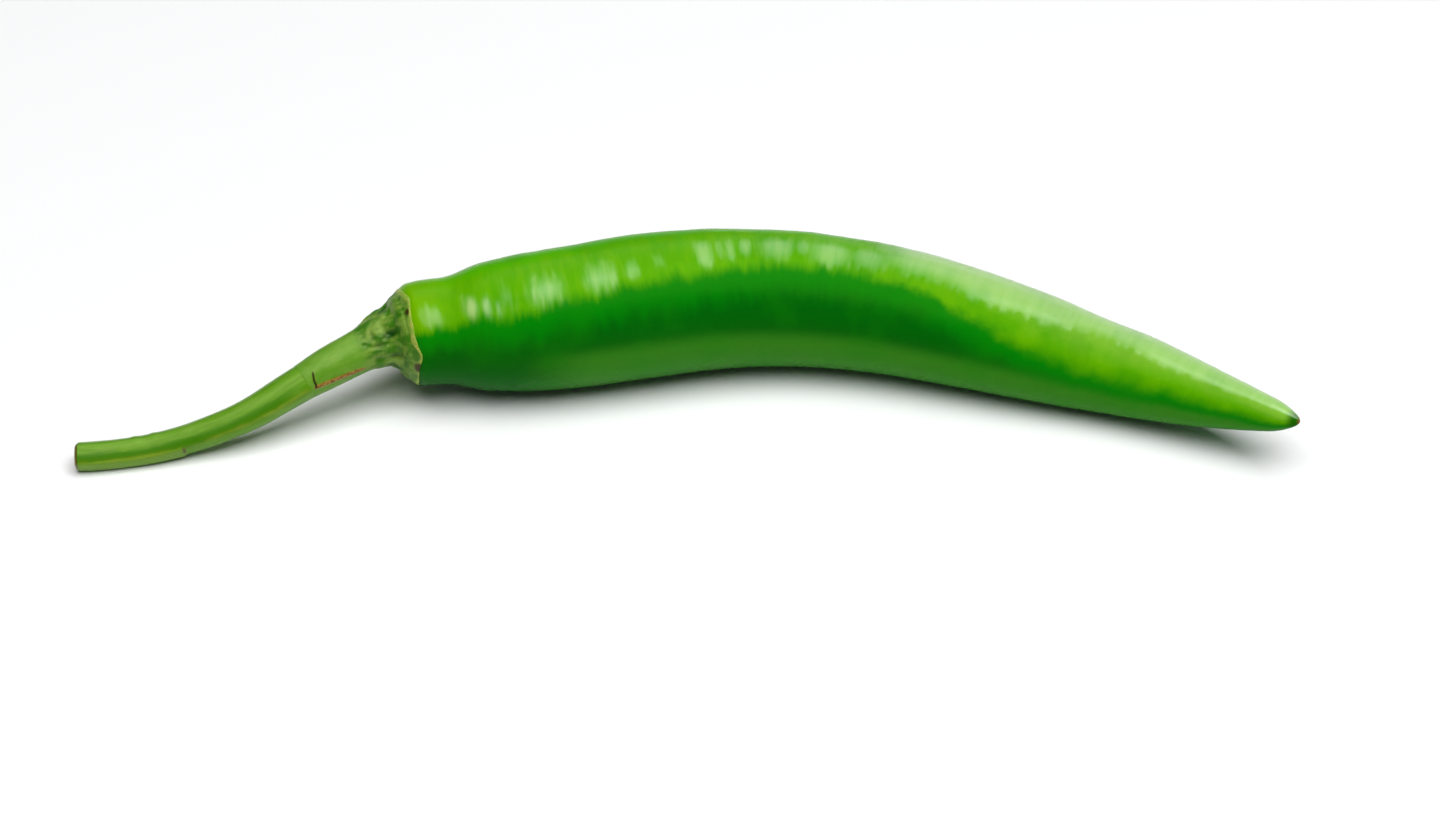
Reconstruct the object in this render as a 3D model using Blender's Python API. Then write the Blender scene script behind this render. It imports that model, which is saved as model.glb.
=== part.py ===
"""A whole long green chilli pepper, lying on its side as picked.

The pod (fruit), the green cup that clasps its neck (calyx) and the stalk (stem) follow one curved spine. A station
is a distance along the spine in metres from the calyx rim: positive towards the pod's tip, negative towards the
stalk's cut end. The stalk points to -X, the tip to +X, the outside of the bend to +Y, and +Z is up. The origin is
under the middle of the whole pepper, on the surface that it lies on.
"""

import math

import bmesh
import bpy
import numpy as np
from mathutils import Vector

# Driving dimensions, in metres.
POD_LENGTH = 0.1495  # along its bend, from the calyx rim to the tip
POD_RADIUS = 0.0117  # at its fattest
NECK_RADIUS = 0.0063  # inside the calyx rim
NECK_DEPTH = 0.0022  # how far the pod's rounded end reaches into the calyx
TIP_ROUND = 0.005  # length of the rounded end at the tip
TIP_RISE = 0.0083  # how far the tail bends up from the surface
CALYX_LENGTH = 0.0175  # from the joint with the stalk to the rim
CALYX_WALL = 0.0008  # at the rim
TOOTH_DEPTH = 0.0009  # from the points of the rim's teeth to the dips between them
JOINT_RADIUS = 0.0029  # where the stalk meets the calyx
STEM_LENGTH = 0.038  # along its bend, from the cut end to the joint
STEM_RADIUS = 0.0022  # at the cut end
CUT_CHAMFER = 0.0003  # round the cut end
CLEARANCE = 0.0003  # between the pod, the calyx and the stalk
TOOTH_COUNT = 5

# The pod's radius, beyond the neck: (share of its length, share of its fattest radius).
POD_PROFILE = [
    (0.015, 0.71),
    (0.05, 0.76),
    (0.09, 0.88),
    (0.16, 0.965),
    (0.26, 1.0),
    (0.40, 0.955),
    (0.55, 0.885),
    (0.70, 0.745),
    (0.82, 0.56),
    (0.92, 0.35),
    (1.0, 0.14),
]
# The calyx's radius: (share of its length from the joint, share of the step from the joint's radius to the rim's).
CALYX_PROFILE = [
    (0.0, 0.0),
    (0.25, 0.08),
    (0.62, 0.13),
    (0.76, 0.27),
    (0.88, 0.61),
    (0.95, 0.86),
    (1.0, 1.0),
]
# The pod's bend in plan: (share of its length from the rim, degrees from +X towards +Y).
POD_HEADINGS = [
    (0.0, 19),
    (0.08, 8),
    (0.20, 13),
    (0.28, 12),
    (0.38, 4),
    (0.50, -11),
    (0.62, -19),
    (0.72, -19),
    (0.80, -26),
    (0.90, -32),
    (1.0, -35),
]
# The bend of the calyx and stalk in plan: (share of their length from the rim, degrees from +X towards +Y).
STALK_HEADINGS = [
    (0.0, 19),
    (0.12, 30),
    (0.40, 31),
    (0.55, 18),
    (0.70, 14),
    (0.85, 12),
    (1.0, 2),
]
LEVEL_SHARE = 0.2  # share of the pod's length after which its belly rests on the surface
TAIL_SHARE = 0.72  # share of the pod's length after which its tail bends up
LANDING_SHARE = 0.855  # share of the way from the rim to the cut end at which the stalk reaches the surface

# Fineness of the meshes.
POD_RINGS = 60
DOME_RINGS = 6
CALYX_RINGS = 14
STEM_RINGS = 26
ROUND_SEGMENTS = 40
STEM_SEGMENTS = 20
SPINE_STEP = 0.0005
FLAT_FACETS = 1.5  # how far the belly presses flat, in facets of its round
NECK_CROWDING = 1.15  # 1 spaces the pod's rings evenly; above 1 they lie closer together towards the neck
TOOTH_REACH = 4  # how far the dips between the teeth reach back from the rim, in tooth depths
SHARP_EDGE = 40  # degrees between two faces above which their shared edge looks sharp

STALK_LENGTH = CALYX_LENGTH + STEM_LENGTH
RIM_RADIUS = NECK_RADIUS + CLEARANCE + CALYX_WALL


def smooth_curve(knots, at):
    """The value at a place on a smooth curve through the knots, which never overshoots between two of them."""
    places = [knot[0] for knot in knots]
    values = [knot[1] for knot in knots]
    gaps = [b - a for a, b in zip(places, places[1:])]
    rises = [(b - a) / gap for a, b, gap in zip(values, values[1:], gaps)]
    slopes = [rises[0]]
    for before, after in zip(rises, rises[1:]):
        turning = before * after <= 0
        slopes.append(0.0 if turning else 2 * before * after / (before + after))
    slopes.append(rises[-1])
    piece = max(i for i in range(len(gaps)) if i == 0 or places[i] <= at)
    t = min(max((at - places[piece]) / gaps[piece], 0.0), 1.0)
    ease = t * t * (3 - 2 * t)
    leaving = t * (1 - t) ** 2 * gaps[piece] * slopes[piece]
    arriving = t * t * (1 - t) * gaps[piece] * slopes[piece + 1]
    return values[piece] * (1 - ease) + values[piece + 1] * ease + leaving - arriving


def smoothstep(t):
    t = min(max(t, 0.0), 1.0)
    return t * t * (3 - 2 * t)


def dome(share):
    """The radius of a rounded end, as a share of its widest, at a share of the way to its pole."""
    return math.sqrt(max(1 - share * share, 0.0))


def pod_girth(station):
    """The pod's radius before its tip is rounded off."""
    neck = (CLEARANCE / POD_LENGTH, NECK_RADIUS / POD_RADIUS)
    return POD_RADIUS * smooth_curve([neck] + POD_PROFILE, station / POD_LENGTH)


def pod_radius(station):
    """The pod's radius, from the pole inside the calyx to the pole of the tip."""
    if station <= 0:
        return NECK_RADIUS * dome(station / NECK_DEPTH)
    into_tip = (station - POD_LENGTH + TIP_ROUND) / TIP_ROUND
    return pod_girth(station) * dome(max(into_tip, 0.0))


def calyx_radius(station):
    """The outside of the calyx."""
    share = 1 + station / CALYX_LENGTH
    return JOINT_RADIUS + (RIM_RADIUS - JOINT_RADIUS) * smooth_curve(CALYX_PROFILE, share)


def cup_radius(station):
    """The inside of the calyx, which clears the pod's rounded end."""
    return (NECK_RADIUS + CLEARANCE) * dome(station / (NECK_DEPTH + CLEARANCE))


def stem_radius(station):
    """The stalk thickens from its cut end towards the joint."""
    share = (station + STALK_LENGTH) / STEM_LENGTH
    return STEM_RADIUS + (JOINT_RADIUS - STEM_RADIUS) * share * share


def heading(station):
    if station < 0:
        degrees = smooth_curve(STALK_HEADINGS, -station / STALK_LENGTH)
    else:
        degrees = smooth_curve(POD_HEADINGS, station / POD_LENGTH)
    return math.radians(degrees)


def resting_height(station):
    """The height of the pod's middle where its belly presses its lowest facets flat on the surface."""
    facet = 2 * math.pi / ROUND_SEGMENTS
    return pod_girth(station) * (1 - FLAT_FACETS * (1 - math.cos(facet)))


def spine_height(station):
    level = LEVEL_SHARE * POD_LENGTH
    if station < 0:
        fallen = smoothstep(-station / STALK_LENGTH / LANDING_SHARE)
        return resting_height(level) + (STEM_RADIUS - resting_height(level)) * fallen
    into_tail = max(station / POD_LENGTH - TAIL_SHARE, 0.0) / (1 - TAIL_SHARE)
    return resting_height(max(station, level)) + TIP_RISE * into_tail**2


def make_spine():
    """The stations and the points of the spine, worked out step by step from its headings and heights."""
    count = round((STALK_LENGTH + POD_LENGTH) / SPINE_STEP)
    stations = np.linspace(-STALK_LENGTH, POD_LENGTH, count + 1)
    points = [Vector((0, 0, spine_height(stations[0])))]
    for a, b in zip(stations, stations[1:]):
        climb = spine_height(b) - spine_height(a)
        run = math.sqrt((b - a) ** 2 - climb**2)
        turn = heading((a + b) / 2)
        points.append(points[-1] + Vector((run * math.cos(turn), run * math.sin(turn), climb)))
    return stations, np.array(points)


STATIONS, SPINE = make_spine()


def spine_point(station):
    return Vector([np.interp(station, STATIONS, SPINE[:, axis]) for axis in range(3)])


def skin_point(station, angle, radius):
    """The point at that radius from the spine; the angle is 0 on the +Y side and 90 degrees on top."""
    reach = 2 * SPINE_STEP
    ahead = spine_point(min(station + reach, POD_LENGTH))
    behind = spine_point(max(station - reach, -STALK_LENGTH))
    along = (ahead - behind).normalized()
    side = Vector((0, 0, 1)).cross(along).normalized()
    up = along.cross(side)
    return spine_point(station) + radius * (math.cos(angle) * side + math.sin(angle) * up)


def ring(bm, segments, station, radius):
    """Vertices round the spine. station may be a number, or a function of the angle."""
    vertices = []
    for i in range(segments):
        angle = 2 * math.pi * i / segments
        at = station(angle) if callable(station) else station
        vertices.append(bm.verts.new(skin_point(at, angle, radius)))
    return vertices


def join_rings(bm, rings):
    for near, far in zip(rings, rings[1:]):
        for i in range(len(near)):
            j = (i + 1) % len(near)
            bm.faces.new((near[i], near[j], far[j], far[i]))


def close_with_pole(bm, last_ring, station):
    pole = bm.verts.new(spine_point(station))
    for i in range(len(last_ring)):
        bm.faces.new((last_ring[i], last_ring[(i + 1) % len(last_ring)], pole))


def material(name, color, roughness):
    made = bpy.data.materials.new(name)
    made.use_nodes = True
    shader = made.node_tree.nodes["Principled BSDF"]
    shader.inputs["Base Color"].default_value = (*color, 1)
    shader.inputs["Roughness"].default_value = roughness
    shader.inputs["Metallic"].default_value = 0
    made.diffuse_color = (*color, 1)
    return made


def finish_object(bm, name, skin):
    """A smooth-shaded object of the closed mesh, with nothing below the surface that the pepper lies on."""
    for vertex in bm.verts:
        vertex.co.z = max(vertex.co.z, 0.0)
    bmesh.ops.recalc_face_normals(bm, faces=bm.faces[:])
    mesh = bpy.data.meshes.new(name)
    bm.to_mesh(mesh)
    bm.free()
    mesh.shade_smooth()
    mesh.set_sharp_from_angle(angle=math.radians(SHARP_EDGE))
    mesh.materials.append(skin)
    made = bpy.data.objects.new(name, mesh)
    bpy.context.scene.collection.objects.link(made)
    return made


def make_fruit():
    """The pod: a rounded end inside the calyx, the belly pressed flat where it lies, and a rounded tip."""
    bm = bmesh.new()
    quarter = math.pi / 2
    neck_end = [-NECK_DEPTH * math.cos(quarter * i / DOME_RINGS) for i in range(1, DOME_RINGS)]
    tip_start = POD_LENGTH - TIP_ROUND
    body = [tip_start * (i / POD_RINGS) ** NECK_CROWDING for i in range(POD_RINGS + 1)]
    tip_end = [tip_start + TIP_ROUND * math.sin(quarter * i / DOME_RINGS) for i in range(1, DOME_RINGS)]
    stations = neck_end + body + tip_end
    rings = [ring(bm, ROUND_SEGMENTS, s, pod_radius(s)) for s in stations]
    join_rings(bm, rings)
    close_with_pole(bm, rings[0], -NECK_DEPTH)
    close_with_pole(bm, rings[-1], POD_LENGTH)
    skin = material("waxy_green_skin", (0.045, 0.30, 0.01), 0.25)
    return finish_object(bm, "fruit", skin)


def toothed(station):
    """A station near the rim, moved back between the teeth; the move fades out towards the joint."""
    fade = smoothstep(1 + station / (TOOTH_REACH * TOOTH_DEPTH))

    def at(angle):
        dip = (1 - math.cos(TOOTH_COUNT * angle)) / 2
        return station - TOOTH_DEPTH * fade * dip

    return at


def make_calyx():
    """The cup: its outside from the joint to the rim, then its inside back over the pod's rounded end."""
    bm = bmesh.new()
    outside = [-CALYX_LENGTH * (1 - i / CALYX_RINGS) for i in range(CALYX_RINGS + 1)]
    floor = NECK_DEPTH + CLEARANCE
    quarter = math.pi / 2
    inside = [-floor * math.sin(quarter * i / DOME_RINGS) for i in range(DOME_RINGS)]
    rings = [ring(bm, ROUND_SEGMENTS, toothed(s), calyx_radius(s)) for s in outside]
    rings += [ring(bm, ROUND_SEGMENTS, toothed(s), cup_radius(s)) for s in inside]
    join_rings(bm, rings)
    close_with_pole(bm, rings[-1], -floor)
    bm.faces.new(rings[0])
    skin = material("calyx_green", (0.16, 0.30, 0.05), 0.55)
    return finish_object(bm, "calyx", skin)


def make_stem():
    """The stalk, from its chamfered cut end to the flat end that meets the calyx."""
    bm = bmesh.new()
    start = -STALK_LENGTH
    end = -CALYX_LENGTH - CLEARANCE
    body = [start + CUT_CHAMFER + (end - start - CUT_CHAMFER) * i / STEM_RINGS for i in range(STEM_RINGS + 1)]
    rings = [ring(bm, STEM_SEGMENTS, start, STEM_RADIUS - CUT_CHAMFER)]
    rings += [ring(bm, STEM_SEGMENTS, s, stem_radius(s)) for s in body]
    join_rings(bm, rings)
    bm.faces.new(rings[0])
    bm.faces.new(rings[-1])
    skin = material("stalk_green", (0.20, 0.36, 0.06), 0.5)
    return finish_object(bm, "stem", skin)


def centre_on_origin(pieces):
    """Moves the pieces' meshes together, so that the origin is under the middle of the whole pepper."""
    corners = [vertex.co for piece in pieces for vertex in piece.data.vertices]
    middle = [(min(c[axis] for c in corners) + max(c[axis] for c in corners)) / 2 for axis in range(2)]
    for piece in pieces:
        for vertex in piece.data.vertices:
            vertex.co.x -= middle[0]
            vertex.co.y -= middle[1]


def main():
    for old in list(bpy.data.objects):
        bpy.data.objects.remove(old, do_unlink=True)
    centre_on_origin([make_fruit(), make_calyx(), make_stem()])


main()
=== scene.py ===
"""The looks of the whole green chilli pepper: fine meshes and procedural materials over the CAD model."""

import math

import bmesh
import bpy
import numpy as np
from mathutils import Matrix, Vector, noise


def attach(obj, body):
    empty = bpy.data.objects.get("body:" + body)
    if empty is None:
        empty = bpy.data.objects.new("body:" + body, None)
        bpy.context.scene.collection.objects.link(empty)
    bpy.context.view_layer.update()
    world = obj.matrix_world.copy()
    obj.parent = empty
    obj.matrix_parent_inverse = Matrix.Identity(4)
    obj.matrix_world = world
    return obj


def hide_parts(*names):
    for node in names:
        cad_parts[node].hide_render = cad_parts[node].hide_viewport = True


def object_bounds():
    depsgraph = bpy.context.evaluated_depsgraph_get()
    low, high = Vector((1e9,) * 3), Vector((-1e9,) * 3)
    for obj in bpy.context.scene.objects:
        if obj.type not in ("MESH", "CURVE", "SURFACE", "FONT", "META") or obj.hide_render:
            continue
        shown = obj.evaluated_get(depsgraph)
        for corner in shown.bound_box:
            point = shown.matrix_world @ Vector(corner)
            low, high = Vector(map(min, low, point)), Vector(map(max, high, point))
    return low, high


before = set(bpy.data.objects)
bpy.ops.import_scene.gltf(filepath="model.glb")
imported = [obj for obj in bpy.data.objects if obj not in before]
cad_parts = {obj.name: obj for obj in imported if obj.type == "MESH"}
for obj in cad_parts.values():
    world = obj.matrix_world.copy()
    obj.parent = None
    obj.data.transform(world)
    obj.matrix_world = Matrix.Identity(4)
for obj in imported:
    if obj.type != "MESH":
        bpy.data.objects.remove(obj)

CAD_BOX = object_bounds()
MM = 0.001

# The spine and the plain outlines, as in the CAD source. A station is a distance in mm along the spine
# from the calyx rim, positive towards the tip.
POD_LENGTH = 149.5
POD_RADIUS = 11.7
NECK_RADIUS = 6.3
NECK_DEPTH = 2.2
TIP_ROUND = 5.0
TIP_RISE = 8.3
CALYX_LENGTH = 17.5
JOINT_RADIUS = 2.9
STEM_LENGTH = 38.0
STEM_RADIUS = 2.2
STALK_LENGTH = CALYX_LENGTH + STEM_LENGTH
RIM_RADIUS = 7.4
SPINE_STEP = 0.5
POD_PROFILE = [
    (0.0, NECK_RADIUS / POD_RADIUS),
    (0.015, 0.71),
    (0.05, 0.76),
    (0.09, 0.88),
    (0.16, 0.965),
    (0.26, 1.0),
    (0.40, 0.955),
    (0.55, 0.885),
    (0.70, 0.745),
    (0.82, 0.56),
    (0.92, 0.35),
    (1.0, 0.14),
]
CALYX_PROFILE = [
    (0.0, 0.0),
    (0.25, 0.08),
    (0.62, 0.13),
    (0.76, 0.27),
    (0.88, 0.61),
    (0.95, 0.86),
    (1.0, 1.0),
]
POD_HEADINGS = [
    (0.0, 19),
    (0.08, 8),
    (0.20, 13),
    (0.28, 12),
    (0.38, 4),
    (0.50, -11),
    (0.62, -19),
    (0.72, -19),
    (0.80, -26),
    (0.90, -32),
    (1.0, -35),
]
STALK_HEADINGS = [
    (0.0, 19),
    (0.12, 30),
    (0.40, 31),
    (0.55, 18),
    (0.70, 14),
    (0.85, 12),
    (1.0, 2),
]
LEVEL_SHARE = 0.2
TAIL_SHARE = 0.72
LANDING_SHARE = 0.855
BELLY_PRESS = 0.9815  # the spine's height over the resting belly, as a share of the pod's radius

# The camera looks along +Y and down.
CAMERA_ELEVATION = 38.0
CAMERA_LENS = 85.0
CAMERA_DISTANCE = 0.5466
CAMERA_AIM = Vector((0.0055, -0.0063, 0.0))


# ---------------------------------------------------------------- curves and spine


def smooth_curve(knots, at):
    """Values on the smooth curve through the knots, which never overshoots between two of them."""
    places, values = np.array(knots, float).T
    gaps = np.diff(places)
    rises = np.diff(values) / gaps
    product = rises[:-1] * rises[1:]
    total = rises[:-1] + rises[1:]
    slopes = np.zeros(len(values))
    slopes[0], slopes[-1] = rises[0], rises[-1]
    slopes[1:-1] = np.where(product > 0, 2 * product / np.where(product > 0, total, 1), 0)
    at = np.asarray(at, float)
    piece = np.clip(np.searchsorted(places, at, side="right") - 1, 0, len(gaps) - 1)
    t = np.clip((at - places[piece]) / gaps[piece], 0, 1)
    ease = t * t * (3 - 2 * t)
    leaving = t * (1 - t) ** 2 * gaps[piece] * slopes[piece]
    arriving = t * t * (1 - t) * gaps[piece] * slopes[piece + 1]
    return values[piece] * (1 - ease) + values[piece + 1] * ease + leaving - arriving


def smoothstep(t):
    t = np.clip(t, 0, 1)
    return t * t * (3 - 2 * t)


def bump(x, middle, width):
    """A rounded bump of height 1."""
    return np.exp(-(((x - middle) / width) ** 2))


def dome(share):
    return np.sqrt(np.clip(1 - share * share, 0, 1))


def pod_girth(station):
    return POD_RADIUS * smooth_curve(POD_PROFILE, station / POD_LENGTH)


def pod_radius(station):
    inside = NECK_RADIUS * dome(np.clip(station / NECK_DEPTH, -1, 0))
    into_tip = np.clip((station - POD_LENGTH + TIP_ROUND) / TIP_ROUND, 0, 1)
    return np.where(station <= 0, inside, pod_girth(station) * dome(into_tip))


def calyx_radius(station):
    share = 1 + station / CALYX_LENGTH
    return JOINT_RADIUS + (RIM_RADIUS - JOINT_RADIUS) * smooth_curve(CALYX_PROFILE, share)


def stem_radius(station):
    share = np.clip((station + STALK_LENGTH) / STEM_LENGTH, 0, 1)
    return STEM_RADIUS + (JOINT_RADIUS - STEM_RADIUS) * share**2


def heading(station):
    stalk = smooth_curve(STALK_HEADINGS, -station / STALK_LENGTH)
    pod = smooth_curve(POD_HEADINGS, station / POD_LENGTH)
    return np.radians(np.where(station < 0, stalk, pod))


def spine_height(station):
    level = LEVEL_SHARE * POD_LENGTH
    neck_height = pod_girth(level) * BELLY_PRESS
    fallen = smoothstep(-station / STALK_LENGTH / LANDING_SHARE)
    stalk = neck_height + (STEM_RADIUS - neck_height) * fallen
    into_tail = np.clip(station / POD_LENGTH - TAIL_SHARE, 0, 1) / (1 - TAIL_SHARE)
    resting = pod_girth(np.maximum(station, level)) * BELLY_PRESS
    return np.where(station < 0, stalk, resting + TIP_RISE * into_tail**2)


def make_spine():
    count = round((STALK_LENGTH + POD_LENGTH) / SPINE_STEP)
    stations = np.linspace(-STALK_LENGTH, POD_LENGTH, count + 1)
    heights = spine_height(stations)
    climbs = np.diff(heights)
    runs = np.sqrt(np.diff(stations) ** 2 - climbs**2)
    turns = heading((stations[1:] + stations[:-1]) / 2)
    x = np.concatenate([[0], np.cumsum(runs * np.cos(turns))])
    y = np.concatenate([[0], np.cumsum(runs * np.sin(turns))])
    return stations, np.stack([x, y, heights], 1)


STATIONS, SPINE = make_spine()


def spine_points(stations):
    return np.stack([np.interp(stations, STATIONS, SPINE[:, axis]) for axis in range(3)], -1)


def skin(stations, angles, radii):
    """Points round the spine in mm. The arrays share one shape.

    The angle is 0 on the +Y side and 90 degrees on top.
    """
    reach = 2 * SPINE_STEP
    along = spine_points(np.minimum(stations + reach, POD_LENGTH))
    along = along - spine_points(np.maximum(stations - reach, -STALK_LENGTH))
    along /= np.linalg.norm(along, axis=-1, keepdims=True)
    side = np.cross((0, 0, 1), along)
    side /= np.linalg.norm(side, axis=-1, keepdims=True)
    up = np.cross(along, side)
    spread = np.cos(angles)[..., None] * side + np.sin(angles)[..., None] * up
    return spine_points(stations) + radii[..., None] * spread


def plain_middle():
    """The middle of the plain pepper's box in the spine's own coordinates, in mm."""
    stations = np.linspace(-STALK_LENGTH, POD_LENGTH, 800)
    angles = np.linspace(0, 2 * math.pi, 60, endpoint=False)
    s, a = np.meshgrid(stations, angles, indexing="ij")
    radii = np.where(s < -CALYX_LENGTH, stem_radius(s), np.where(s < 0, calyx_radius(s), pod_radius(s)))
    points = skin(s, a, radii).reshape(-1, 3)
    return (points.min(0) + points.max(0)) / 2


CAD_MIDDLE = np.array((CAD_BOX[0] + CAD_BOX[1]) / 2) / MM
SHIFT = (CAD_MIDDLE - plain_middle()) * (1, 1, 0)


# ---------------------------------------------------------------- meshes


def waves(points, scale, seed):
    """Smooth noise from -1 to 1 at each point; scale is the wavelength along each axis, in mm."""
    flat = points.reshape(-1, 3) / np.array(scale) + np.array((seed * 7.31, seed * 3.17, seed * 5.23))
    found = np.array([noise.noise(Vector(p)) for p in flat])
    return found.reshape(points.shape[:-1])


def straight(stations, angles, radii):
    """The same places on a straightened pepper: along, to the side and up, in mm."""
    return np.stack([stations, radii * np.cos(angles), radii * np.sin(angles)], -1)


def facing(angles):
    """Degrees from straight up towards the inside of the bend, from -180 to 180."""
    return (np.degrees(angles) - 90 + 180) % 360 - 180


def tube_piece(name, points, marks, poles, material):
    """A closed piece from rings of points, with a pole point closing each end.

    marks are values at each point, kept as attributes for the material. A pole takes its nearest ring's mean.
    """
    rings, around = points.shape[:2]
    points = points + SHIFT
    points[..., 2] = np.maximum(points[..., 2], 0)
    ends = [spine_points(np.array(pole)) + SHIFT for pole in poles]
    vertices = np.array([*points.reshape(-1, 3), *ends]) * MM
    index = np.arange(rings * around).reshape(rings, around)
    beside = np.roll(index, -1, 1)
    first, last = rings * around, rings * around + 1
    faces = np.stack([index[:-1], beside[:-1], beside[1:], index[1:]], -1).reshape(-1, 4).tolist()
    faces += [(beside[0, j], index[0, j], first) for j in range(around)]
    faces += [(index[-1, j], beside[-1, j], last) for j in range(around)]
    mesh = bpy.data.meshes.new(name)
    mesh.from_pydata(vertices.tolist(), [], faces)
    bm = bmesh.new()
    bm.from_mesh(mesh)
    bmesh.ops.recalc_face_normals(bm, faces=bm.faces[:])
    bm.to_mesh(mesh)
    bm.free()
    for mark, values in marks.items():
        vector = values.ndim == 3
        at_poles = [values[0].mean(0).ravel(), values[-1].mean(0).ravel()]
        values = np.concatenate([values.reshape(rings * around, -1), at_poles])
        attribute = mesh.attributes.new(mark, "FLOAT_VECTOR" if vector else "FLOAT", "POINT")
        attribute.data.foreach_set("vector" if vector else "value", values.astype(np.float32).ravel())
    mesh.shade_smooth()
    mesh.materials.append(material)
    piece = bpy.data.objects.new(name, mesh)
    bpy.context.scene.collection.objects.link(piece)
    return piece


# Where the painted light of the upper side, a yellow-green base colour, gives way to deep green: (station,
# degrees from straight up).
PAINTED_LIGHT_EDGE = [
    (0, 52),
    (15, 52),
    (28, 42),
    (46, 36),
    (62, 29),
    (82, 29),
    (92, 41),
    (100, 54),
    (112, 66),
    (128, 66),
    (138, 72),
    (149.5, 105),
]
# Where the painted light of the upper side ends towards the back, in degrees from straight up.
PAINTED_LIGHT_BACK = -80.0
# The shiny patches on the pod's upper side, which the material also lightens with a painted highlight:
# (station, degrees from straight up, half length, half width in degrees, strength).
WAX_PATCHES = [
    (4.6, 38, 2.4, 17, 0.6),
    (11.1, 34, 1.5, 16, 1.0),
    (13.6, 36, 0.9, 14, 0.8),
    (15.4, 39, 0.6, 11, 0.6),
    (16.8, 27, 1.7, 18, 0.5),
    (23.0, 27, 3.3, 18, 0.64),
    (31.8, 22, 3.0, 16, 0.66),
    (37.0, 20, 1.4, 11, 0.6),
    (41.4, 17, 1.5, 10, 0.5),
    (48.7, 11, 1.4, 15, 0.95),
    (51.5, 8, 0.7, 11, 0.6),
    (53.1, 10, 0.9, 14, 0.75),
    (55.5, 6, 1.1, 11, 0.85),
    (61.0, 6, 3.3, 14, 0.85),
    (65.2, 4, 1.6, 12, 0.7),
    (69.7, 7, 3.9, 15, 0.9),
    (75.9, 6, 3.3, 14, 0.8),
]
# Where the shine that covers the tail's upper side ends: (station, degrees from straight up).
TAIL_SHINE = [
    (68, -4),
    (80, 8),
    (90, 14),
    (104, 20),
    (118, 16),
    (132, 20),
    (149.5, 30),
]
PATCH_SLANT = 2.5  # how far the patches near the neck lean, in degrees for each mm


def wax_shine(s, turn, rest):
    """How shiny the waxy skin is at each point of the pod, from 0 to 1. The material also paints a highlight
    into the base colour where it is shiniest.
    """
    shine = np.zeros_like(s)
    for station, degrees, length, width, strength in WAX_PATCHES:
        lean = PATCH_SLANT if station < 20 else 0
        along = np.abs((s - station) / length)
        across = np.abs((turn - degrees - lean * (s - station)) / width)
        shine = np.maximum(shine, strength * np.exp(-(along**2.3) - across**2.3))
    edge = smooth_curve(TAIL_SHINE, s) + 9 * waves(rest, (9, 40, 40), 5)
    tail = smoothstep((s - 72) / 13) * smoothstep((edge - turn) / 30 + 0.5) * smoothstep((turn + 100) / 45)
    return np.maximum(shine, 0.95 * tail)


def shoulder_bead(s):
    """The raised edge of the pod where the calyx's rim closes on it, in mm."""
    return 0.32 * bump(s, 0.3, 1.3)


def pod_relief(s, a, plain):
    """How far the real skin stands off the plain round pod, in mm."""
    rest = straight(s, a, plain)
    share = s / POD_LENGTH
    upper = 0.5 + 0.5 * np.sin(a + 0.5)
    lobes = plain * (0.008 + 0.014 * bump(share, 0.05, 0.12)) * np.cos(3 * (a - 0.35 - 1.1 * share))
    smooth_tail = (1 - 0.8 * smoothstep((share - 0.5) / 0.15)) * (1 - smoothstep((share - 0.9) / 0.1))
    wrinkled = smoothstep(s / 6) * smooth_tail * (0.05 + 0.95 * upper**1.5)
    folds = waves(rest, (6.5, 18, 18), 1) * 0.13 + waves(rest, (2.6, 10, 10), 2) * 0.03
    slow = waves(rest, (22, 24, 24), 4) * 0.20 * smoothstep(s / 10) * (1 - smoothstep((share - 0.85) / 0.15))
    shoulder = shoulder_bead(s) - 0.2 * bump(s, 5.5, 3.0) * (1 - upper) - 0.4 * bump(s, 8.7, 3.3) * upper
    knuckle = (0.15 * bump(s, 122, 4.5) - 0.28 * bump(s, 113.5, 6.5)) * bump(np.cos(a - 1.0), 1, 0.5)
    return lobes * smoothstep(s / 5) + wrinkled * folds + slow + shoulder + knuckle


def neck_surface(s):
    """The pod's plain radius round the calyx's rim, with the bead that closes on it."""
    return pod_radius(s) + shoulder_bead(s)


def make_pod(material):
    around = 224
    quarter = np.linspace(0, math.pi / 2, 14)
    inside = -NECK_DEPTH * np.cos(quarter)[1:-1]
    body = np.linspace(0, POD_LENGTH - TIP_ROUND, 390)
    tip = POD_LENGTH - TIP_ROUND + TIP_ROUND * np.sin(np.linspace(0, math.pi / 2, 26))[1:-1]
    stations = np.concatenate([inside, body, tip])
    angles = np.linspace(0, 2 * math.pi, around, endpoint=False)
    s, a = np.meshgrid(stations, angles, indexing="ij")
    plain = pod_radius(s)
    radii = plain + pod_relief(s, a, plain) * smoothstep(plain / 5)
    turn = facing(a)
    rest = straight(s, a, radii)
    # How far each point lies inside the upper side that the material lights with painted light, in degrees.
    painted_light_side = np.minimum(smooth_curve(PAINTED_LIGHT_EDGE, s) - turn, turn - PAINTED_LIGHT_BACK)
    marks = {"straight": rest, "painted_light_side": painted_light_side, "turn": turn, "wax": wax_shine(s, turn, rest)}
    return tube_piece("pod_skin", skin(s, a, radii), marks, (-NECK_DEPTH, POD_LENGTH), material)


# The calyx's hollows between its wrinkles, which the material darkens with painted shade:
# (station, degrees from straight up, half length, half width, depth).
CALYX_PITS = [
    (-3.4, 40, 1.0, 0.8, 0.55),
    (-5.2, 56, 0.8, 0.55, 0.30),
    (-5.6, 27, 0.35, 0.75, 0.22),
    (-7.0, 38, 0.35, 0.35, 0.16),
    (-3.0, -25, 0.9, 0.6, 0.40),
    (-4.6, -75, 1.0, 0.7, 0.45),
    (-3.6, 128, 1.1, 0.8, 0.45),
    (-4.2, -140, 1.0, 0.8, 0.45),
    (-3.2, 88, 0.9, 0.5, 0.35),
]


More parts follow.
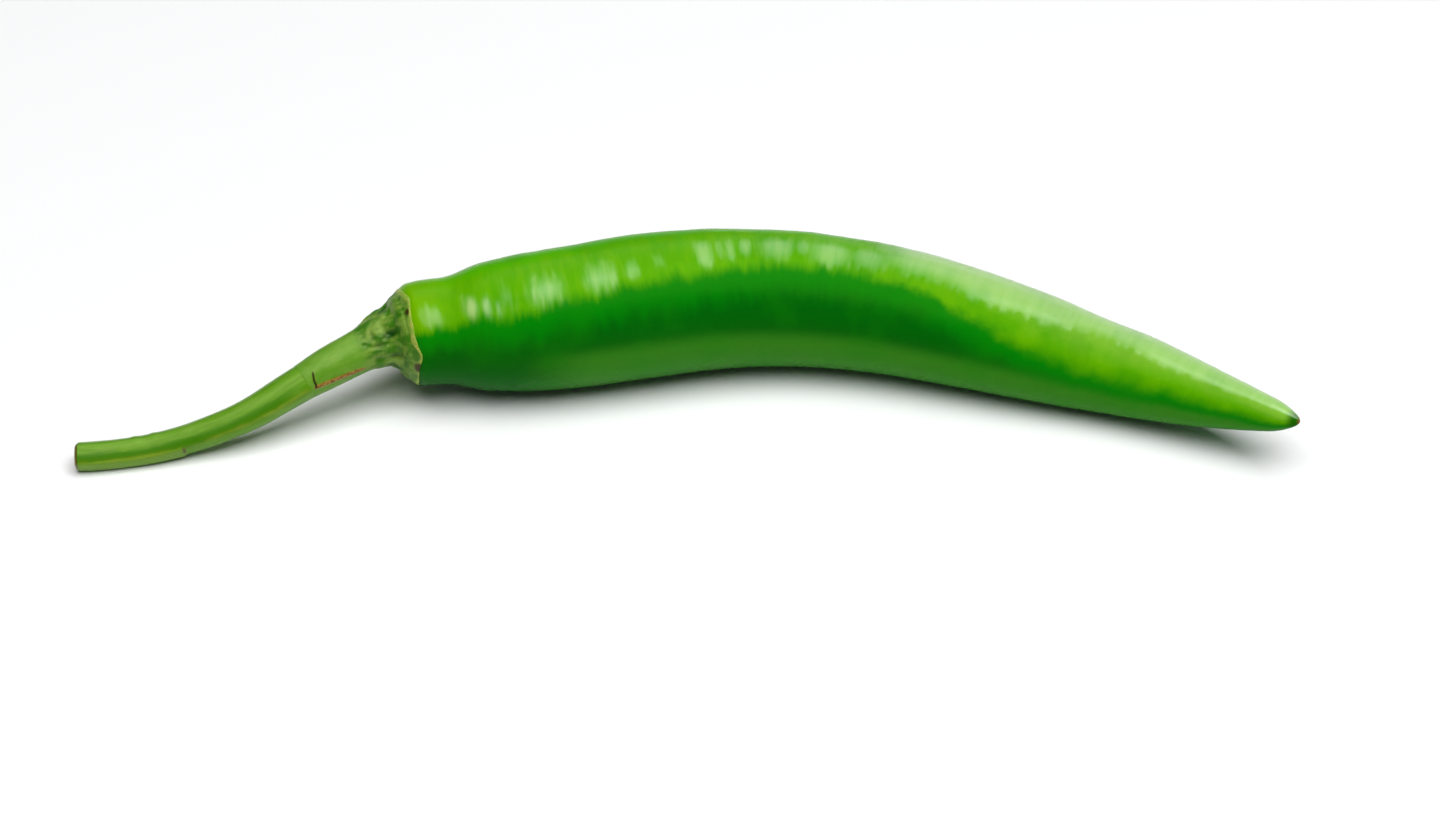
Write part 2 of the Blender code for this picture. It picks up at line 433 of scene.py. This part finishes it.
def calyx_pits(s, turn, plain):
    """How deep the hollows are at each point of the calyx, in mm."""
    depth = np.zeros_like(s)
    for station, degrees, length, width, deep in CALYX_PITS:
        off = np.radians((turn - degrees + 180) % 360 - 180) * plain
        depth += deep * np.exp(-(((s - station) / length) ** 2) - (off / width) ** 2)
    return depth


RIM_REACH = 1.2  # how far the cup's rim reaches past the plain rim


def make_calyx(material):
    around = 280
    outside = np.linspace(-CALYX_LENGTH, 0, 180)
    floor = NECK_DEPTH + 0.1
    inside = -floor * np.sin(np.linspace(0, math.pi / 2, 14))[1:-1]
    stations = np.concatenate([outside, inside])
    angles = np.linspace(0, 2 * math.pi, around, endpoint=False)
    s, a = np.meshgrid(stations, angles, indexing="ij")
    turn = facing(a)
    out = np.arange(len(stations))[:, None] < len(outside)
    cup = (NECK_RADIUS + 0.1) * dome(np.clip(s / floor, -1, 0))
    plain = np.where(out, calyx_radius(s), cup)
    rest = straight(s, a, plain)
    cupped = smoothstep((s + 8.0) / 2.5)
    at_rim = smoothstep((s + 0.62 + 0.55 * waves(rest, (50, 2.0, 2.0), 17)) / 0.35)
    wrinkles = waves(rest, (2.6, 2.0, 2.0), 11) * 0.42 + waves(rest, (1.2, 0.9, 0.9), 12) * 0.20
    creases = 0.10 - 0.28 * np.abs(waves(rest, (3.6, 1.5, 1.5), 13)) ** 0.7
    pits = calyx_pits(s, turn, plain) * out
    scar_turn = 82 + 2.2 * (s + 17)
    scar = bump(turn, scar_turn, 7.0) * smoothstep((s + 17.0) / 0.5) * (1 - smoothstep((s + 9.5) / 2.5))
    ring_side = smoothstep((turn - 26) / 18) * (1 - smoothstep((turn - 82) / 12))
    ring_at = -CALYX_LENGTH + 0.9 + (82 - turn) / 70 + 0.3 * waves(rest, (50, 1.2, 1.2), 16)
    ring = bump(s, ring_at, 0.22) * ring_side
    back = 0.65 * bump(s, -4.0, 2.8) * bump(turn, -45, 45)
    back += 0.75 * bump(s, -4.2, 2.4) * smoothstep((-60 - turn) / 40) * smoothstep((turn + 180) / 20)
    relief = cupped * (wrinkles + creases) * (1 - 0.75 * at_rim) - pits + back
    relief += waves(rest, (6, 3, 3), 14) * 0.10 + 0.16 * scar + 0.08 * ring
    tooth = bump((turn - 79 + 36) % 72 - 36, 0, 11)
    near_rim = smoothstep((s + 9.0) / 8.0)
    rim_move = near_rim * RIM_REACH
    rim_move += smoothstep((s + 3.0) / 3.0) * (0.65 * tooth - 0.25 + 0.3 * waves(rest, (50, 2.2, 2.2), 15))
    radii = plain + np.where(out, relief, 0)
    lying = neck_surface(s + rim_move) + 0.24 - 0.12 * smoothstep((s + 0.3) / 0.3)
    radii = np.where(out & (s > -3.0), np.maximum(radii, lying), radii)
    stain = bump(turn, 23, 5) * bump(s, -0.6, 0.4) + bump(turn, 97, 10) * bump(s, -0.3, 0.8)
    marks = {
        "straight": straight(s, a, radii),
        "rim": at_rim,
        "scar": scar,
        "ring": ring,
        "painted_pit_shade": np.clip(pits / 0.4, 0, 1),
        "stain": stain,
    }
    return tube_piece("calyx_cup", skin(s + rim_move, a, radii), marks, (-CALYX_LENGTH, -floor), material)


TUCK = 1.0  # how far the stalk's end reaches into the calyx
RIDGE_TURN = 80.0  # where the stalk's ridge runs, in degrees from straight up
FLAP_END = -38.8  # the station at which the strip under the ridge breaks off


def make_stalk(material):
    around = 140
    stations = np.linspace(-STALK_LENGTH, TUCK - CALYX_LENGTH, 345)
    angles = np.linspace(0, 2 * math.pi, around, endpoint=False)
    s, a = np.meshgrid(stations, angles, indexing="ij")
    turn = facing(a)
    plain = stem_radius(s)
    rest = straight(s, a, plain)
    ridge = bump(turn, RIDGE_TURN, 9)
    flap = smoothstep((turn - RIDGE_TURN + 4) / 10) * (1 - smoothstep((FLAP_END - 0.3 - s) / -0.6))
    others = 0.05 * np.cos(5 * np.radians(turn - RIDGE_TURN))
    nodes = (0.14 * bump(s, -46.0, 0.7) + 0.12 * bump(s, -43.0, 0.6)) * bump(turn, -20, 40)
    radii = plain + 0.08 * ridge + others + 0.18 * flap + nodes + waves(rest, (7, 2.5, 2.5), 21) * 0.10
    cut = smoothstep((s + STALK_LENGTH) / 0.45)
    tucked = smoothstep((s + CALYX_LENGTH) / TUCK)
    radii = radii * (0.86 + 0.14 * cut) * (1 - 0.2 * tucked)
    brown = 0.8 * bump(s, 0.3 - STALK_LENGTH, 0.2) + 0.8 * bump(s, FLAP_END, 0.35) * bump(turn, 100, 25)
    marks = {"straight": straight(s, a, radii), "turn": turn, "ridge": ridge, "flap": flap, "brown": brown}
    return tube_piece("stalk_skin", skin(s, a, radii), marks, (-STALK_LENGTH, TUCK - CALYX_LENGTH), material)


# ---------------------------------------------------------------- materials


class Nodes:
    """A short way to write a material's node tree."""

    def __init__(self, name):
        self.material = bpy.data.materials.new(name)
        self.material.use_nodes = True
        self.tree = self.material.node_tree
        self.shader = self.tree.nodes["Principled BSDF"]

    def add(self, kind, inputs=None, **settings):
        node = self.tree.nodes.new(kind)
        for key, value in settings.items():
            setattr(node, key, value)
        for key, value in (inputs or {}).items():
            self.set(node.inputs[key], value)
        return node

    def set(self, socket, value):
        if isinstance(value, bpy.types.NodeSocket):
            self.tree.links.new(value, socket)
        else:
            socket.default_value = value

    def shade(self, **inputs):
        for key, value in inputs.items():
            self.set(self.shader.inputs[key.replace("_", " ")], value)

    def mark(self, name):
        return self.add("ShaderNodeAttribute", attribute_name=name).outputs["Fac"]

    def place(self):
        return self.add("ShaderNodeAttribute", attribute_name="straight").outputs["Vector"]

    def along(self, place):
        """The station of a place on the straightened pepper."""
        return self.add("ShaderNodeSeparateXYZ", {0: place}).outputs[0]

    def scaled(self, vector, scale):
        return self.add("ShaderNodeVectorMath", {0: vector, 1: scale}, operation="MULTIPLY").outputs[0]

    def noise(self, vector, scale, detail=3.0, roughness=0.5):
        inputs = {"Vector": vector, "Scale": scale, "Detail": detail, "Roughness": roughness}
        return self.add("ShaderNodeTexNoise", inputs).outputs["Fac"]

    def math(self, operation, a, b=0.0, clamp=False):
        return self.add("ShaderNodeMath", {0: a, 1: b}, operation=operation, use_clamp=clamp).outputs[0]

    def ramp(self, value, low, high, out_low=0.0, out_high=1.0):
        inputs = {"Value": value, 1: low, 2: high, 3: out_low, 4: out_high}
        return self.add("ShaderNodeMapRange", inputs, interpolation_type="SMOOTHSTEP").outputs[0]

    def blend(self, factor, a, b):
        """A number part of the way from a to b."""
        return self.math("ADD", a, self.math("MULTIPLY", factor, self.math("SUBTRACT", b, a)))

    def mix(self, factor, a, b):
        node = self.add("ShaderNodeMix", data_type="RGBA")
        self.set(node.inputs["Factor"], factor)
        self.set(node.inputs["A"], a if isinstance(a, bpy.types.NodeSocket) else (*a, 1))
        self.set(node.inputs["B"], b if isinstance(b, bpy.types.NodeSocket) else (*b, 1))
        return node.outputs["Result"]

    def bump(self, height, distance, strength=1.0):
        inputs = {"Height": height, "Distance": distance, "Strength": strength}
        return self.add("ShaderNodeBump", inputs).outputs[0]


def pod_material():
    n = Nodes("pod_waxy_skin")
    place = n.place()
    turn = n.mark("turn")
    along = n.along(place)
    streaks = n.noise(n.scaled(place, (1.0, 0.16, 0.16)), 0.40, 3.0, 0.6)
    strokes = n.noise(n.scaled(place, (1.0, 0.16, 0.16)), 0.85, 2.0, 0.5)
    blotches = n.noise(place, 0.11, 3.0, 0.5)
    mottle = n.noise(place, 0.24, 3.0, 0.55)
    tail = n.ramp(along, 86, 124)
    calm = n.math("MULTIPLY", n.ramp(along, 60, 92), 0.85)
    uneven = n.blend(calm, streaks, mottle)
    # Painted light: the upper side is painted a lit yellow-green over the deep green, with a jagged, streaky
    # edge.
    painted_light_side = n.math("ADD", n.mark("painted_light_side"), n.math("MULTIPLY", n.math("SUBTRACT", uneven, 0.5), 28.0))
    deep = n.mix(tail, (0.0012, 0.112, 0.0025), (0.008, 0.180, 0.0020))
    # Painted reflection of the floor: a paler olive band low on the front side, starting some way past the
    # neck.
    painted_floor_reflection = n.math("MULTIPLY", n.ramp(turn, 76, 94), n.ramp(along, 16, 30))
    deep = n.mix(painted_floor_reflection, deep, (0.036, 0.215, 0.010))
    # The painted light fades through a brighter green into the deep green; inside it, random flecks vary the
    # lit yellow-green.
    green = n.mix(n.ramp(painted_light_side, -30, -6), deep, (0.0012, 0.195, 0.0020))
    edge = n.math("MULTIPLY", n.math("ADD", tail, 0.7), 12.0)
    painted_lit = n.ramp(n.math("DIVIDE", n.math("SUBTRACT", painted_light_side, 2.0), edge), -0.7, 1.0)
    fleck = n.blend(calm, strokes, mottle)
    yellow = n.mix(n.ramp(fleck, 0.35, 0.65), (0.084, 0.345, 0.0002), (0.108, 0.365, 0.0004))
    green = n.mix(painted_lit, green, yellow)
    # Painted light: a greener strip along the top of the lit side, weaker towards the tail.
    top = n.math("MULTIPLY", n.ramp(painted_light_side, 44, 66), n.ramp(along, 62, 86, 0.8, 0.2))
    green = n.mix(top, green, (0.066, 0.400, 0.0001))
    # Painted light: the lit side is yellower near the neck.
    shoulder = n.math("MULTIPLY", n.ramp(along, 13, 2), painted_lit)
    green = n.mix(n.math("MULTIPLY", shoulder, 0.7), green, (0.165, 0.40, 0.0005))
    # Painted highlight: a pale sheen over the upper side of the tail.
    painted_tail_sheen = n.math("MULTIPLY", n.ramp(along, 68, 94), n.ramp(painted_light_side, 15, 50))
    green = n.mix(n.math("MULTIPLY", painted_tail_sheen, 0.6), green, (0.22, 0.45, 0.040))
    green = n.mix(n.ramp(blotches, 0.45, 0.7, 0.0, 0.25), green, (0.008, 0.21, 0.001))
    # Painted shade: darker on the underside.
    green = n.mix(n.ramp(turn, 116, 142, 0.0, 0.5), green, (0.008, 0.08, 0.002))
    green = n.mix(n.ramp(along, 147.3, 148.8), green, (0.012, 0.12, 0.001))
    green = n.mix(n.ramp(along, 149.15, 149.4), green, (0.16, 0.10, 0.02))
    broken = n.math("MULTIPLY", n.math("SUBTRACT", strokes, 0.5), 1.1)
    broken = n.math("ADD", broken, n.math("MULTIPLY", n.math("SUBTRACT", streaks, 0.5), 0.8))
    wax = n.mark("wax")
    broken = n.math("MULTIPLY", broken, n.ramp(wax, 0.6, 0.3, 0.2, 1.0))
    shine = n.math("ADD", wax, n.math("MULTIPLY", broken, n.ramp(wax, 0.03, 0.35)))
    coat = n.ramp(shine, 0.10, 0.95)
    # Painted highlight: the shiniest patches are also lightened to a whitish green in the base colour, most
    # near the neck.
    painted_highlight = n.math("MULTIPLY", n.ramp(shine, 0.4, 1.2), n.ramp(along, 40, 20, 0.15, 0.75))
    painted_highlight = n.math("MULTIPLY", painted_highlight, n.ramp(strokes, 0.35, 0.6, 0.45, 1.1))
    green = n.mix(painted_highlight, green, (0.42, 0.60, 0.20))
    roughness = n.ramp(blotches, 0.3, 0.7, 0.24, 0.30)
    n.shade(Base_Color=green, Roughness=roughness, IOR=1.45, Specular_IOR_Level=0.05)
    n.shade(Specular_Tint=(0.5, 1.0, 0.14, 1.0), Coat_Weight=coat, Coat_Roughness=0.30, Coat_IOR=1.5)
    n.shade(Normal=n.bump(strokes, 0.00003, 0.3))
    return n.material


def calyx_material():
    n = Nodes("calyx_wrinkled")
    place = n.place()
    along = n.along(place)
    mottle = n.noise(n.scaled(place, (0.5, 1.0, 1.0)), 0.75, 4.0, 0.6)
    fine = n.noise(place, 2.6, 3.0)
    smooth = n.mix(n.ramp(mottle, 0.3, 0.7), (0.085, 0.255, 0.008), (0.125, 0.290, 0.022))
    wrinkled = n.mix(n.ramp(mottle, 0.38, 0.62), (0.030, 0.150, 0.002), (0.150, 0.270, 0.030))
    green = n.mix(n.ramp(along, -8.5, -6.5), smooth, wrinkled)
    # Painted shade in the hollows.
    green = n.mix(n.mark("painted_pit_shade"), green, (0.002, 0.060, 0.001))
    edge = n.mix(n.ramp(mottle, 0.42, 0.58), (0.360, 0.400, 0.070), (0.230, 0.380, 0.040))
    green = n.mix(n.math("MULTIPLY", n.mark("rim"), n.ramp(fine, 0.3, 0.5, 0.5, 1.0)), green, edge)
    bark = n.mix(n.ramp(fine, 0.40, 0.60), (0.160, 0.062, 0.005), (0.330, 0.170, 0.035))
    green = n.mix(n.ramp(n.mark("scar"), 0.15, 0.6), green, bark)
    green = n.mix(n.ramp(n.mark("ring"), 0.25, 0.7), green, (0.028, 0.022, 0.002))
    green = n.mix(n.ramp(n.mark("stain"), 0.3, 0.8), green, (0.035, 0.025, 0.003))
    n.shade(Base_Color=green, Roughness=0.40, IOR=1.45, Specular_IOR_Level=0.35)
    n.shade(Specular_Tint=(1.0, 1.0, 0.5, 1.0), Normal=n.bump(fine, 0.00008, 0.6))
    return n.material


def stalk_material():
    n = Nodes("stalk_green")
    place = n.place()
    fibres = n.noise(n.scaled(place, (0.10, 1.0, 1.0)), 1.6, 4.0, 0.6)
    mottle = n.noise(n.scaled(place, (0.4, 1.0, 1.0)), 0.5, 3.0, 0.6)
    turn = n.math("ADD", n.mark("turn"), n.math("MULTIPLY", n.math("SUBTRACT", mottle, 0.5), 40.0))
    green = n.mix(n.ramp(fibres, 0.35, 0.65), (0.080, 0.240, 0.003), (0.115, 0.290, 0.012))
    green = n.mix(n.ramp(mottle, 0.5, 0.7, 0.0, 0.4), green, (0.150, 0.310, 0.030))
    along = n.along(place)
    stripe = n.math("MULTIPLY", n.ramp(turn, 38, 56), n.ramp(turn, 84, 74))
    stripe = n.math("MULTIPLY", stripe, n.ramp(along, -17.5, -23.0, 0.1, 0.85))
    green = n.mix(stripe, green, (0.036, 0.170, 0.001))
    ridge = n.math("MULTIPLY", n.mark("ridge"), n.ramp(mottle, 0.4, 0.6, 0.1, 0.4))
    green = n.mix(ridge, green, (0.210, 0.230, 0.012))
    green = n.mix(n.math("MULTIPLY", n.mark("flap"), 0.4), green, (0.180, 0.310, 0.035))
    green = n.mix(n.ramp(along, 0.3 - STALK_LENGTH, 0.1 - STALK_LENGTH), green, (0.230, 0.230, 0.070))
    green = n.mix(n.ramp(n.mark("brown"), 0.2, 0.8), green, (0.085, 0.050, 0.008))
    n.shade(Base_Color=green, Roughness=0.34, IOR=1.45, Specular_IOR_Level=0.30)
    n.shade(Specular_Tint=(1.0, 1.0, 0.5, 1.0), Normal=n.bump(fibres, 0.00005, 0.5))
    return n.material


# ---------------------------------------------------------------- stage


def make_floor():
    bpy.ops.mesh.primitive_plane_add(size=6)
    floor = bpy.context.object
    floor.name = "floor"
    n = Nodes("white_floor")
    n.shade(Base_Color=(0.895, 0.90, 0.905, 1), Roughness=0.6, Specular_IOR_Level=0.0)
    floor.data.materials.append(n.material)


def softbox(name, azimuth, elevation, distance, size, radiance, only_shine=False):
    """A rectangular light that faces the pepper. The azimuth is in degrees from +Y towards +X.

    Its power follows from the radiance that its face shows. A light that is only shine is only mirrored.
    """
    light = bpy.data.lights.new(name, "AREA")
    light.shape = "RECTANGLE"
    light.size, light.size_y = size
    light.energy = radiance * size[0] * size[1] * math.pi
    turn, rise = math.radians(azimuth), math.radians(elevation)
    away = Vector((math.sin(turn) * math.cos(rise), math.cos(turn) * math.cos(rise), math.sin(rise)))
    lamp = bpy.data.objects.new(name, light)
    lamp.location = away * distance
    lamp.rotation_euler = (-away).to_track_quat("-Z", "Y").to_euler()
    lamp.visible_camera = False
    lamp.visible_diffuse = not only_shine
    bpy.context.scene.collection.objects.link(lamp)


def make_lights():
    world = bpy.data.worlds.new("room")
    world.use_nodes = True
    world.node_tree.nodes["Background"].inputs["Color"].default_value = (1, 1, 1, 1)
    world.node_tree.nodes["Background"].inputs["Strength"].default_value = 0.07
    world.cycles_visibility.glossy = False
    bpy.context.scene.world = world
    softbox("softbox_top", 150, 76, 1.1, (1.3, 1.0), 4.5)
    softbox("shine_above", 40, 66, 1.0, (2.0, 0.98), 2.4, only_shine=True)
    softbox("shine_behind", 32, 21, 1.15, (1.1, 0.85), 1.8, only_shine=True)


def make_camera():
    camera = bpy.data.objects.new("camera", bpy.data.cameras.new("camera"))
    bpy.context.scene.collection.objects.link(camera)
    elevation = math.radians(CAMERA_ELEVATION)
    away = Vector((0, -math.cos(elevation), math.sin(elevation)))
    camera.location = CAMERA_AIM + away * CAMERA_DISTANCE
    camera.rotation_euler = (-away).to_track_quat("-Z", "Y").to_euler()
    camera.data.lens = CAMERA_LENS
    camera.data.sensor_width = 36.0
    camera.data.clip_start = 0.01
    bpy.context.scene.camera = camera


def place(piece, node, slot):
    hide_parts(node)
    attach(piece, "root")


def main():
    place(make_pod(pod_material()), "fruit", "skin")
    place(make_calyx(calyx_material()), "calyx", "calyx")
    place(make_stalk(stalk_material()), "stem", "stalk")
    make_floor()
    make_lights()
    make_camera()
    bpy.context.scene.view_settings.view_transform = "Standard"


main()
